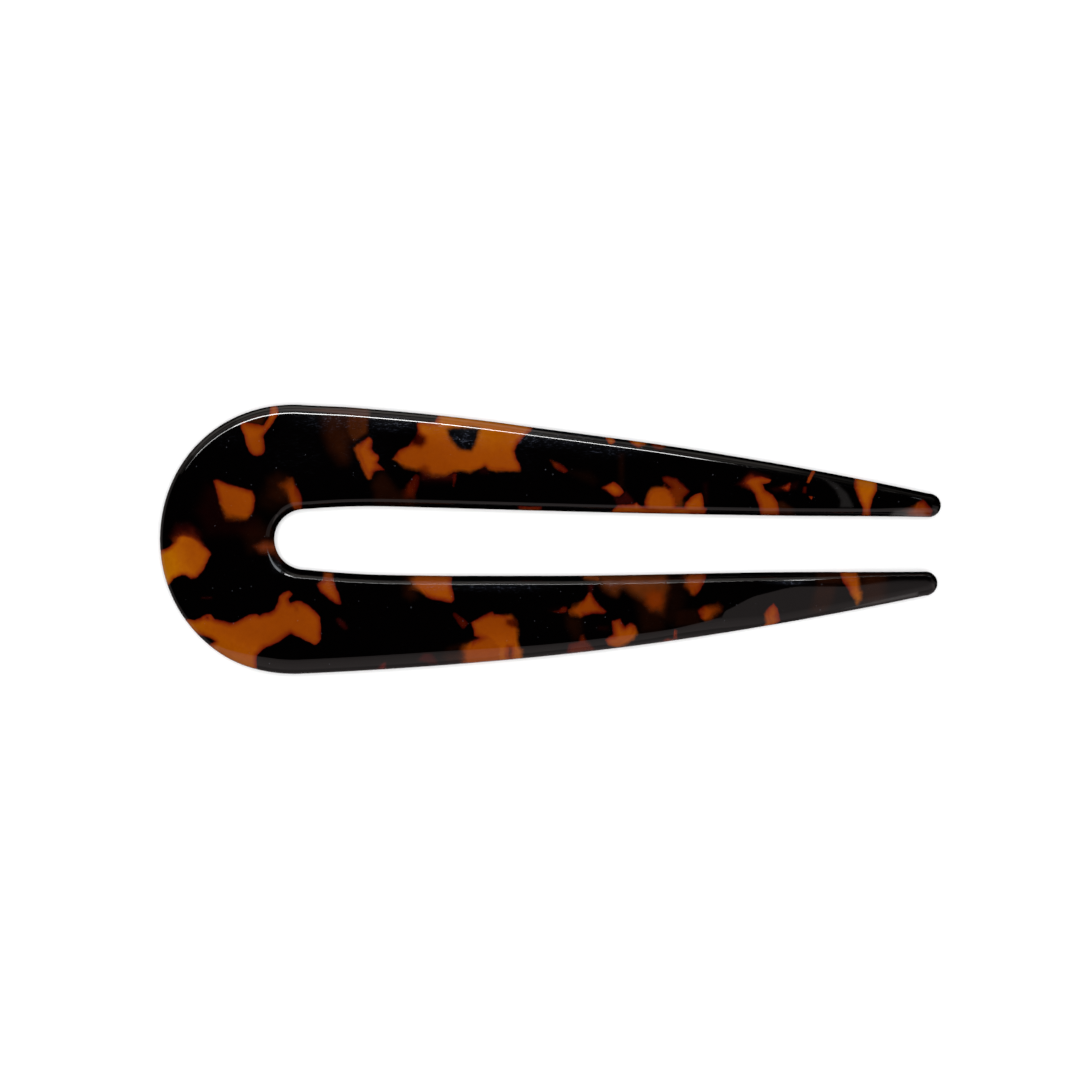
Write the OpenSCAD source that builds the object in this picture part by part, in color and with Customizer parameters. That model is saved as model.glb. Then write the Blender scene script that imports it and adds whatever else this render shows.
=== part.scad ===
// A flat U-shaped hairpin: one piece of polished sheet with a broad round head, a long
// slot and two tapering prongs. It lies flat, with its head towards -X, its tips towards
// +X and the middle of its underside at the origin. Lengths are in millimetres.

/* [Overall] */
// Length from the bend of the head to the tips
pin_length = 110; // [95:5:120]
// Thickness of the sheet
thickness = 4; // [3.6:0.2:4.8]

/* [Head and sides] */
// Radius of the round head, which is half of the greatest width
head_radius = 18.95; // [18.95:0.25:19.95]
// Size of the long arcs of the sides, whose centres lie 685 of these from the head's centre
side_step = 0.8; // [0.75:0.05:0.9]

/* [Slot] */
// Solid wall between the bend of the head and the end of the slot
head_wall = 16.1; // [15.1:0.5:17.1]
// Radius of the slot's round end
slot_end_radius = 4.25; // [3.85:0.1:4.25]
// Half of the slot's greatest width
slot_half_width = 4.78; // [4.7:0.08:5.1]
// Distance from the centre of the round end to the slot's widest place
slot_flare_length = 10.6; // [9.6:0.5:11.1]
// Angle by which each edge of the slot closes in towards the tips
slot_taper = 0.83; // [0.63:0.1:1.03]
// How much the round along the slot's edges is over half of the thickness in radius
slot_round_excess = 0.02; // [0.01:0.01:0.06]

/* [Tips] */
// Radius of the nose of each prong
tip_radius = 1.75; // [1.7:0.05:1.8]

/* [Hidden] */

// The outer rim rounds over in a long arc and a small nose that share a tangent. Their
// centres lie 3, 4 and 5 eighths of the thickness apart, in height, in depth and in line.
rim_depth = 0.75 * thickness;
rim_nose = 0.25 * thickness;
rim_curve = 0.875 * thickness;
rim_join = 0.05 * thickness;

// The head and a side share a tangent on the line through their centres, which runs along
// the long edge of a right triangle with sides in the whole-number ratio 37, 684 and 685.
join_run = 37;
join_rise = 684;
join_line = 685;
join_share = 0.05;
side_radius = head_radius + join_line * side_step;
side_band = 3 * head_radius;
side_angle = 16;
side_lead = 1;

head_x = head_radius - pin_length / 2;
side_x = head_x - join_run * side_step;
side_y = -join_rise * side_step;

// Each edge of the slot leaves the round end on an arc and goes on along its tangent
slot_end_x = head_wall + slot_end_radius - pin_length / 2;
flare_rise = slot_half_width - slot_end_radius;
flare_radius = (pow(slot_flare_length, 2) + pow(flare_rise, 2)) / (2 * flare_rise);
flare_angle = 2 * asin(slot_flare_length / flare_radius);
flare_start = slot_end_x - 0.1 * slot_end_radius;
flare_x = slot_end_x + slot_flare_length;
flare_y = slot_half_width - flare_radius;
slot_round = thickness / 2 + slot_round_excess;
slot_band = 2 * slot_half_width + 4 * slot_round;

// The nose of each prong sits midway between the side and the slot
tip_x = pin_length / 2 - tip_radius;
tip_y = (side_at(tip_x) + slot_at(tip_x)) / 2;

overlap = 1;
small_fn = 96;
large_fn = 720;

// Half width of the blank at x, on a side's arc
function side_at(x) = side_y + sqrt(pow(side_radius, 2) - pow(x - side_x, 2));

// Half width of the slot at x, on the straight part of its edge
function slot_at(x) =
    let (along = (x - flare_x - flare_radius * sin(slot_taper)) / cos(slot_taper))
    flare_y + flare_radius * cos(slot_taper) - along * sin(slot_taper);

// Section through the outer rim, from `band` inside it out to `reach` from the axis
module rim_section(reach, band) {
    translate([reach - band, 0]) square([band - rim_depth, thickness]);
    intersection() {
        translate([reach - rim_depth, 0]) square([rim_depth - rim_join, thickness]);
        translate([reach - rim_depth, rim_curve]) circle(rim_curve, $fn = small_fn);
        translate([reach - rim_depth, thickness - rim_curve]) circle(rim_curve, $fn = small_fn);
    }
    intersection() {
        translate([reach - rim_join, 0]) square([rim_join, thickness]);
        translate([reach - rim_nose, thickness / 2]) circle(rim_nose, $fn = small_fn);
    }
}

// Section of what the slot takes away: it flares round the rounded edge that it leaves
module slot_section(reach, band) {
    difference() {
        translate([reach - band, -overlap])
            square([band + slot_round, thickness + 2 * overlap]);
        translate([reach + slot_round, thickness / 2]) circle(slot_round, $fn = small_fn);
    }
}

// Everything beyond the two lines on which the head passes into the sides
module beyond_joins() {
    side_height = join_rise * join_share;
    side_shift = join_run * join_share;
    translate([head_x, 0, -overlap]) linear_extrude(thickness + 2 * overlap)
        polygon([
            [0, 0],
            [side_shift, side_height],
            [2 * pin_length, side_height],
            [2 * pin_length, -side_height],
            [side_shift, -side_height]
        ]);
}

// A broad sector whose rim is the side of the pin towards +Y
module side_sector() {
    translate([side_x, side_y, 0])
        rotate_extrude(angle = side_angle, start = 90 + side_lead - side_angle, $fn = large_fn)
            rim_section(side_radius, side_band);
}

module blank() {
    difference() {
        translate([head_x, 0, 0])
            rotate_extrude($fn = large_fn) rim_section(head_radius, head_radius);
        beyond_joins();
    }
    intersection() {
        side_sector();
        mirror([0, 1, 0]) side_sector();
        beyond_joins();
    }
}

// What the slot takes away below its edge towards +Y, apart from the round end
module slot_edge() {
    translate([flare_x, flare_y, 0]) rotate([0, 0, -slot_taper]) {
        rotate_extrude(angle = flare_angle, start = 90, $fn = large_fn)
            slot_section(flare_radius, slot_band);
        rotate([90, 0, 90]) linear_extrude(pin_length)
            slot_section(flare_radius, slot_band);
    }
}

module slot_end() {
    translate([slot_end_x, 0, 0])
        rotate_extrude($fn = large_fn) slot_section(slot_end_radius, slot_end_radius);
}

module slot_sides() {
    intersection() {
        slot_edge();
        mirror([0, 1, 0]) slot_edge();
        translate([flare_start, -slot_band, -2 * overlap])
            cube([2 * pin_length, 2 * slot_band, thickness + 4 * overlap]);
    }
}

// Section of a prong's nose: a half disc at each face, drawn apart to the full thickness
module nose_section() {
    translate([0, tip_radius]) square([tip_radius, thickness - 2 * tip_radius]);
    for (height = [tip_radius, thickness - tip_radius])
        intersection() {
            translate([0, height]) circle(tip_radius, $fn = small_fn);
            square([tip_radius, thickness]);
        }
}

// All that lies behind the noses, and the noses
module tip_limit() {
    translate([-pin_length, -pin_length, -overlap])
        cube([pin_length + tip_x, 2 * pin_length, thickness + 2 * overlap]);
    for (side = [-1, 1])
        translate([tip_x, side * tip_y, 0]) rotate_extrude($fn = small_fn) nose_section();
}

module pin() {
    color([0.16, 0.07, 0.03])
        difference() {
            intersection() {
                blank();
                tip_limit();
            }
            slot_end();
            slot_sides();
        }
}

pin();
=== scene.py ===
import math

import bpy
import numpy as np
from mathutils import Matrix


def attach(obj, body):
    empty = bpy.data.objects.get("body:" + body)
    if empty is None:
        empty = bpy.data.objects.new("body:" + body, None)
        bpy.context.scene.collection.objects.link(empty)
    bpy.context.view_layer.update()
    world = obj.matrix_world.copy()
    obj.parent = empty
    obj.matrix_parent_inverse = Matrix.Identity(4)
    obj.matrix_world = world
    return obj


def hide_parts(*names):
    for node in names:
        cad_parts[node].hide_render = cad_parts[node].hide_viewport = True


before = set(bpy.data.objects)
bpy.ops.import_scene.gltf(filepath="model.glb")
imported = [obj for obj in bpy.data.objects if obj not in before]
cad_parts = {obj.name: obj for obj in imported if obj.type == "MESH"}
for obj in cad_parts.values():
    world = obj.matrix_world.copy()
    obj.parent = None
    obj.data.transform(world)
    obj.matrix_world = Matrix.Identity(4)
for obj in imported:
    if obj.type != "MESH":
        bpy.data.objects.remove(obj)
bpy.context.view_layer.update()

# A polished tortoiseshell hairpin: one closed skin drawn along the U from the tip of one
# prong, round the head, to the tip of the other. Lengths in this script are millimetres
# in the pin's own frame, and become metres only where a mesh or a lamp is made.

MM = 0.001
THICK = 4.0
MID = THICK / 2

# Plan of the pin
HEAD_X = -36.05
HEAD_R = 18.95
HEAD_FULL = 0.17
HEAD_LOW = 0.1
SIDE_X = -65.65
SIDE_Y = -547.2
SIDE_R = 566.95
SLOT_X = -34.65
SLOT_R = 4.25
FLARE_X = -24.05
FLARE_Y = -101.485
FLARE_R = 106.265
FLARE_END = -22.5
TAPER = 0.01449
SLOT_EASE = 0.17
CREASE = 0.1
CREASE_RUN = 1.0
NOSE_R = 1.65
UPPER_TIP = 54.9
LOWER_TIP = 54.5

# Slope that thins the lower prong towards its tip, beyond a ridge along it
FACET_TILT = 0.337
FACET_SOFT = 0.3
EDGE_DROP = 0.35

# Depths of the underside's plain roundings, and the least flat left between them
UNDER_RIM = 3.0
UNDER_SLOT = 1.76
UNDER_FLAT = 0.2

# Rows and columns of the skin
NOSE_ROWS = 26
PRONG_ROWS = 290
HEAD_ROWS = 200
TOP_RIM = 17
TOP_FACE = 36
TOP_SLOT = 15
BASE_RIM = 13
BASE_FACE = 18
BASE_SLOT = 9

# Bake map: its bands, its margin, and the shares of its width and of a band's height that
# the strip fills
BANDS = 4
MARGIN = 0.01
STRIP_WIDE = 0.97
STRIP_HIGH = 0.98


def ease(value, low, high):
    """Smooth step: 3 t^2 - 2 t^3, where t is value's share of the way from low to high."""
    t = np.clip((value - low) / (high - low), 0.0, 1.0)
    return t * t * (3.0 - 2.0 * t)


def bell(value, middle, width):
    """Bell curve: exp of minus the square of value's distance from middle, in widths."""
    return np.exp(-(((value - middle) / width) ** 2))


def bow(x):
    """Sideways drift of the middle line: a shallow bell that dips 0.23 mm near x = 12."""
    return 0.04 - 0.23 * bell(x, 12.0, 30.0)


def side_reach(x):
    """Half width of the blank at x: height of a circle of radius SIDE_R far below the axis."""
    return SIDE_Y + np.sqrt(SIDE_R**2 - (x - SIDE_X) ** 2)


def crease(gap):
    """Height that softens the corner where the flare leaves the slot's round end."""
    return CREASE / (4 * CREASE_RUN) * np.clip(CREASE_RUN - gap, 0.0, None) ** 2


def slot_reach(x):
    """Half width of the slot at x: a flare arc, then the arc's tangent, easing out at the tips."""
    arc = FLARE_Y + np.sqrt(FLARE_R**2 - (np.minimum(x, FLARE_END) - FLARE_X) ** 2)
    straight = -TAPER * np.maximum(x - FLARE_END, 0.0)
    return arc + straight + crease(np.abs(x - SLOT_X)) + SLOT_EASE * ease(x, 30.0, 52.0)


def rim_gap(x):
    """How much farther out the upper prong's rim lies than the blank's: a long, low swell behind
    the head and a slight hollow in the middle of the prong."""
    swell = 0.13 * ease(x, SLOT_X, -28.0) * (1.0 - ease(x, -18.0, -2.0))
    return swell - 0.07 * ease(x, -8.0, 0.0) * (1.0 - ease(x, 4.0, 16.0))


def slot_gap(x):
    """How much farther out the slot's edge lies on the lower prong than on the upper one."""
    return 0.25 * ease(x, -33.0, -12.0) * (1.0 - ease(x, 0.0, 30.0))


def edge_cosine(reach, x):
    """Cosine of the slope of a half width, from its change over 0.02 mm."""
    return 1.0 / np.sqrt(1.0 + ((reach(x + 0.01) - reach(x - 0.01)) / 0.02) ** 2)


def curve(share):
    """Rise of a rounded edge: a small nose, then a long arc that levels out at share = 1. For a
    depth of 3 and a height of 2, the nose's radius is 1 and the arc's is 3.5."""
    d = 3.0 * np.clip(share, 0.0, 1.0)
    nose = np.sqrt(np.clip(1.0 - (1.0 - np.minimum(d, 1.0)) ** 2, 0.0, None))
    arc = -1.5 + np.sqrt(12.25 - (3.0 - d) ** 2)
    return np.where(d < 0.2, nose, arc) / 2.0


def curve_steps(count):
    """Shares of the rounding's depth, count of them from 0 to just under 1, at even steps of
    the rounded edge's own length."""
    nose_turn = math.acos(0.8)
    arc_turn = math.asin(0.8)
    total = nose_turn + 3.5 * arc_turn
    run = np.arange(count) * total / count
    nose = 1.0 - np.cos(np.minimum(run, nose_turn))
    arc = 3.0 - 3.5 * np.sin((total - np.maximum(run, nose_turn)) / 3.5)
    return np.where(run < nose_turn, nose, arc) / 3.0


def rim_rounding(x, lower):
    """Depth of the rounding along the outer rim: full round the head, tighter on the prongs and
    tightest at the tips, on the lower prong from where its slope begins."""
    tight = ease(x, 44.0, 51.0) + (ease(x, 20.0, 33.0) - ease(x, 44.0, 51.0)) * lower
    return 2.95 - 0.8 * ease(x, -18.0, 2.0) - 0.75 * tight


def slot_arcs(x, lower):
    """The slot's rounded edge is two arcs that share a tangent. Gives the lower arc's radius, how
    far in from the edge it runs, the upper arc's radius, and a stretch outwards in plan. The
    upper arc is tight on the lower prong, and all but a corner beyond x = 29. Round the slot's
    end the edge is wider, most of all where it is worn at the lower left."""
    upper = 1.0 - lower
    near_tip = ease(x, 34.0, 48.0) * lower
    near_end = 1.0 - ease(x, -42.0, -35.0)
    worn = bell(x, -48.0, 5.0) * lower
    far = ease(x, 14.0, 30.0)
    ends = 0.1 * (1.0 - ease(x, -28.0, -14.0)) + 0.15 * far
    first = 2.32 + 0.33 * lower - 0.9 * near_tip
    bend = 0.68 + 0.5 * lower - 0.6 * near_tip - ends * upper - 0.1 * near_end * lower
    tight = 0.46 + 0.45 * ease(x, 19.0, 29.0)
    second = 0.96 - tight * lower + 0.15 * far * upper + 0.15 * near_end + 0.5 * worn
    stretch = 1.0 + 0.3 * ease(x, 45.0, 51.0) * upper + 0.16 * near_end + 0.18 * worn
    return first, bend, second, stretch


def two_arcs(distance, first, bend, second):
    """Rise at a distance in from an edge rounded by two arcs, and the whole rise."""
    lean = 1.0 - bend / first
    cosine = np.sqrt(1.0 - lean**2)
    low = first * np.sqrt(1.0 - (1.0 - np.clip(distance, 0.0, bend) / first) ** 2)
    left = np.clip(lean - (distance - bend) / second, 0.0, lean)
    high = second * (np.sqrt(1.0 - left**2) - cosine)
    return low + high, first * cosine + second * (1.0 - cosine)


def two_arc_steps(first, bend, second, count):
    """Distances in from the edge, count of them from 0, at even turns of either arc."""
    early = count * 2 // 5
    lean = 1.0 - bend / first
    turned = np.arcsin(lean)
    share = np.arange(early) / early
    low = first * (1.0 - np.sin(math.pi / 2 + (turned - math.pi / 2) * share))
    share = np.arange(count - early) / (count - early)
    high = bend + second * (lean - np.sin(turned * (1.0 - share)))
    return np.concatenate([low, high], axis=1), bend + second * lean


def ridge_line(x):
    """Distance of the lower prong's ridge from the middle line. It slants in from the outline,
    faster between x = 22 and 29, and runs on almost straight to the tip."""
    slant = 0.42 * np.clip(24.5 - x, 0.0, None) + 2.6 * (1.0 - ease(x, 22.5, 29.5))
    return 5.35 + slant + 1.5 * (1.0 - ease(x, 27.0, 35.5)) - 0.85 * ease(x, 41.0, 50.0)


def beyond(value):
    """Zero below the ridge and a straight slope beyond it, joined by a small soft bend."""
    return FACET_SOFT * np.logaddexp(0.0, value / FACET_SOFT)


def prong(tip, lower):
    """Spokes of one prong, drawn for the side towards +y, from its tip to the slot's end: their
    x, the outer and inner ends' distances from the axis, and the cosines of both edges' slopes."""
    turn = np.linspace(math.pi / 2, 0.0, NOSE_ROWS + 1)[1:-1]
    nose_x = tip - NOSE_R
    x = np.concatenate([
        nose_x + NOSE_R * np.sin(turn),
        np.linspace(nose_x, SLOT_X, PRONG_ROWS, endpoint=False),
    ])
    held = np.minimum(x, nose_x)
    rim = side_reach(held) + rim_gap(held) * (1.0 - lower)
    slot = slot_reach(held) + slot_gap(held) * lower
    ahead = np.clip((x - nose_x) / NOSE_R, 0.0, 1.0)
    middle, half = (rim + slot) / 2, (rim - slot) / 2
    chord = half * np.sqrt(1.0 - ahead**2)
    return {
        "x": x, "held": held, "ahead": ahead, "rim": middle + chord, "slot": middle - chord,
        "full": rim - slot, "rim_cos": edge_cosine(side_reach, held),
        "slot_cos": edge_cosine(slot_reach, held),
    }


def head():
    """Spokes round the head: rays from the centre of the slot's end to the head's circle, which
    is a touch full between its widest and its foremost places, and more so at the lower left."""
    angle = np.linspace(math.pi / 2, 3 * math.pi / 2, HEAD_ROWS + 1)
    off = SLOT_X - HEAD_X
    shift = -off * np.cos(angle)
    reach = shift + np.sqrt(HEAD_R**2 - off**2 + shift**2) + HEAD_FULL * np.sin(2 * angle) ** 2
    reach = reach + HEAD_LOW * bell(np.degrees(angle), 240.0, 12.0)
    gap = SLOT_R * (math.pi / 2 - np.abs(angle - math.pi))
    return {
        "ray": np.stack([np.cos(angle), np.sin(angle)], axis=1), "reach": reach,
        "eye": SLOT_R + crease(gap), "rim_cos": np.sqrt(1.0 - (off * np.sin(angle) / HEAD_R) ** 2),
        "lower": ease(-np.sin(angle), -0.3, 1.0),
    }


def spokes():
    """All rows of the skin in order, as arrays: the upper prong, the head, the lower prong."""
    up, low, bend = prong(UPPER_TIP, 0.0), prong(LOWER_TIP, 1.0), head()
    centre = np.array([SLOT_X, 0.0])
    nothing = np.zeros(HEAD_ROWS + 1)

    def joined(key, middle):
        return np.concatenate([up[key], middle, low[key][::-1]])

    def places(key, middle):
        """Where the spokes' ends lie in plan, from the prongs' distances and the head's."""
        return np.concatenate([
            np.stack([up["x"], up[key]], axis=1), centre + middle[:, None] * bend["ray"],
            np.stack([low["x"], -low[key]], axis=1)[::-1],
        ])

    outer = places("rim", bend["reach"])
    return {
        "outer": outer, "inner": places("slot", bend["eye"]),
        "held": joined("held", outer[len(up["x"]):][:HEAD_ROWS + 1, 0]),
        "ahead": joined("ahead", nothing), "full": joined("full", bend["reach"] - bend["eye"]),
        "rim_cos": joined("rim_cos", bend["rim_cos"]), "slot_cos": joined("slot_cos", nothing + 1.0),
        "lower": np.concatenate([0 * up["x"], bend["lower"], 0 * low["x"] + 1.0]),
    }


def columns(rim_steps, rim_end, slot_steps, slot_end, face_count):
    """Shares of the spoke's width: rounding steps in from each end and even steps between."""
    even = np.arange(face_count) / face_count
    face = rim_end + (1.0 - rim_end - slot_end) * even
    return np.concatenate([rim_steps, face, 1.0 - slot_end, 1.0 - slot_steps[:, ::-1]], axis=1)


def skin():
    """Vertices of the pin's skin, rows by columns. Across a spoke, height falls away from the
    face by the rounding curve at either edge, and near the tips also by a slope beyond a
    ridge that runs along the prong. Inside a nose, the profile of the spoke through the
    nose's centre is swung round that centre."""
    # Each spoke's measures stand in a row of their own, to spread over the places across it
    s = {key: rows if rows.ndim == 2 else rows[:, None] for key, rows in spokes().items()}
    outer, span, full, held = s["outer"], s["inner"] - s["outer"], s["full"], s["held"]
    ahead, lower, rim_cos, slot_cos = s["ahead"], s["lower"], s["rim_cos"], s["slot_cos"]
    half, spread = full / 2, np.sqrt(1.0 - ahead**2)
    rim_y = np.where(held > SLOT_X, side_reach(held), 0.0)
    rim_depth = rim_rounding(held, lower)
    slope = FACET_TILT * lower
    line = ridge_line(held)
    rim_shave = slope * beyond(rim_y - line)
    slot_shave = slope * beyond(rim_y - full - line)
    edge = MID - EDGE_DROP * rim_shave
    first, bend, second, stretch = slot_arcs(held, lower)
    under_rim = np.minimum(UNDER_RIM, (full - UNDER_SLOT - UNDER_FLAT) * rim_cos)

    def top(distance):
        """Height of the upper face at distances from the rim along the spoke."""
        rim = curve(distance * rim_cos / rim_depth)
        rise, whole = two_arcs((full - distance) * slot_cos / stretch, first, bend, second)
        slot_fall = (whole - rise) * (1.0 - slot_shave / whole)
        shave = slope * beyond(rim_y - distance - line)
        return THICK - shave - (THICK - edge - rim_shave) * (1.0 - rim) - slot_fall

    def base(distance):
        """Height of the underside at distances from the rim along the spoke."""
        rim = curve(distance * rim_cos / under_rim)
        slot = curve((full - distance) * slot_cos / UNDER_SLOT)
        return edge * (1.0 - rim) + MID * (1.0 - slot)

    def swung(shares, height):
        """Heights over the spokes, with each nose a turn of its centre spoke's profile."""
        across = (1.0 - 2.0 * shares) * spread
        away = np.sqrt(np.minimum(across**2 + ahead**2, 1.0))
        to_rim = 0.5 + 0.5 * across / np.maximum(away, 1e-9)
        turned = to_rim * height((1.0 - away) * half) + (1.0 - to_rim) * height((1.0 + away) * half)
        return np.where(ahead > 0.0, turned, height(shares * full))

    def sheet(shares, height):
        """Places in plan at shares of the way along each spoke, with their heights."""
        plan = outer[:, None, :] + span[:, None, :] * shares[:, :, None]
        return np.concatenate([plan, swung(shares, height)[:, :, None]], axis=2)

    along_rim, along_slot = rim_cos * full, slot_cos * full
    slot_steps, slot_end = two_arc_steps(first, bend, second, TOP_SLOT)
    face = columns(curve_steps(TOP_RIM) * rim_depth / along_rim, rim_depth / along_rim,
                   slot_steps * stretch / along_slot, slot_end * stretch / along_slot, TOP_FACE)
    back = columns(curve_steps(BASE_RIM) * under_rim / along_rim, under_rim / along_rim,
                   curve_steps(BASE_SLOT) * UNDER_SLOT / along_slot, UNDER_SLOT / along_slot, BASE_FACE)
    points = np.concatenate([sheet(face, top), sheet(back[:, ::-1][:, 1:-1], base)], axis=1)
    # A pole stands at the very end of each nose
    ends = []
    for tip, row, side in ((UPPER_TIP, 0, 1.0), (LOWER_TIP, -1, -1.0)):
        nose_x = np.float64(tip - NOSE_R)
        middle = (side_reach(nose_x) + slot_reach(nose_x)) / 2
        ends.append([tip, side * middle, (edge[row, 0] + MID) / 2])
    ends = np.array(ends)
    points[:, :, 1] += bow(points[:, :, 0])
    ends[:, 1] += bow(ends[:, 0])
    return points, ends


def placed(name, data):
    """A new object of the scene, at the origin, that shows a mesh, a lamp or a camera."""
    piece = bpy.data.objects.new(name, data)
    bpy.context.scene.collection.objects.link(piece)
    return piece


def closed_skin(name, points, ends):
    """A closed mesh from rows by columns of points, whose columns join up round each row, with a
    fan of triangles to a pole beyond either end. Its bake map lays the strip out in bands."""
    rows, ring, _ = points.shape
    i, j = np.meshgrid(np.arange(rows - 1), np.arange(ring), indexing="ij")
    step = (j + 1) % ring
    quads = np.stack(
        [i * ring + j, (i + 1) * ring + j, (i + 1) * ring + step, i * ring + step], axis=2
    ).reshape(-1, 4)
    k = np.arange(ring)
    after = (k + 1) % ring
    last = (rows - 1) * ring
    pole = np.full(ring, rows * ring)
    fans = np.concatenate([
        np.stack([pole, k, after], axis=1), np.stack([pole + 1, last + after, last + k], axis=1)
    ])
    mesh = bpy.data.meshes.new(name)
    places = np.concatenate([points.reshape(-1, 3), ends]) * MM
    mesh.from_pydata(places.tolist(), [], quads.tolist() + fans.tolist())
    mesh.polygons.foreach_set("use_smooth", np.ones(len(mesh.polygons), dtype=bool))

    per_band = math.ceil((rows - 1) / BANDS)
    band = i // per_band
    left = MARGIN + STRIP_WIDE * (i - band * per_band) / per_band
    right = left + STRIP_WIDE / per_band
    low = (band + MARGIN + STRIP_HIGH * j / ring) / BANDS
    high = (band + MARGIN + STRIP_HIGH * (j + 1) / ring) / BANDS
    quad_map = np.stack([left, low, right, low, right, high, left, high], axis=2).reshape(-1, 2)
    zero, first, last_edge = 0 * k, 0 * k + MARGIN, 0 * k + right[-1, 0]
    middle, below, above = (
        (MARGIN + STRIP_HIGH * (k + part) / ring) / BANDS for part in (0.5, 0.0, 1.0)
    )
    shelf = (BANDS - 1) / BANDS
    first_fan = np.stack([zero, middle, first, below, first, above], axis=1)
    last_fan = np.stack([
        last_edge + MARGIN, shelf + middle, last_edge, shelf + above, last_edge, shelf + below
    ], axis=1)
    fan_map = np.concatenate([first_fan, last_fan]).reshape(-1, 2)
    bake_map = mesh.uv_layers.new(name="OFBake")
    bake_map.data.foreach_set("uv", np.concatenate([quad_map, fan_map]).astype(np.float32).ravel())
    mesh.validate()
    return placed(name, mesh)


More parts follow.
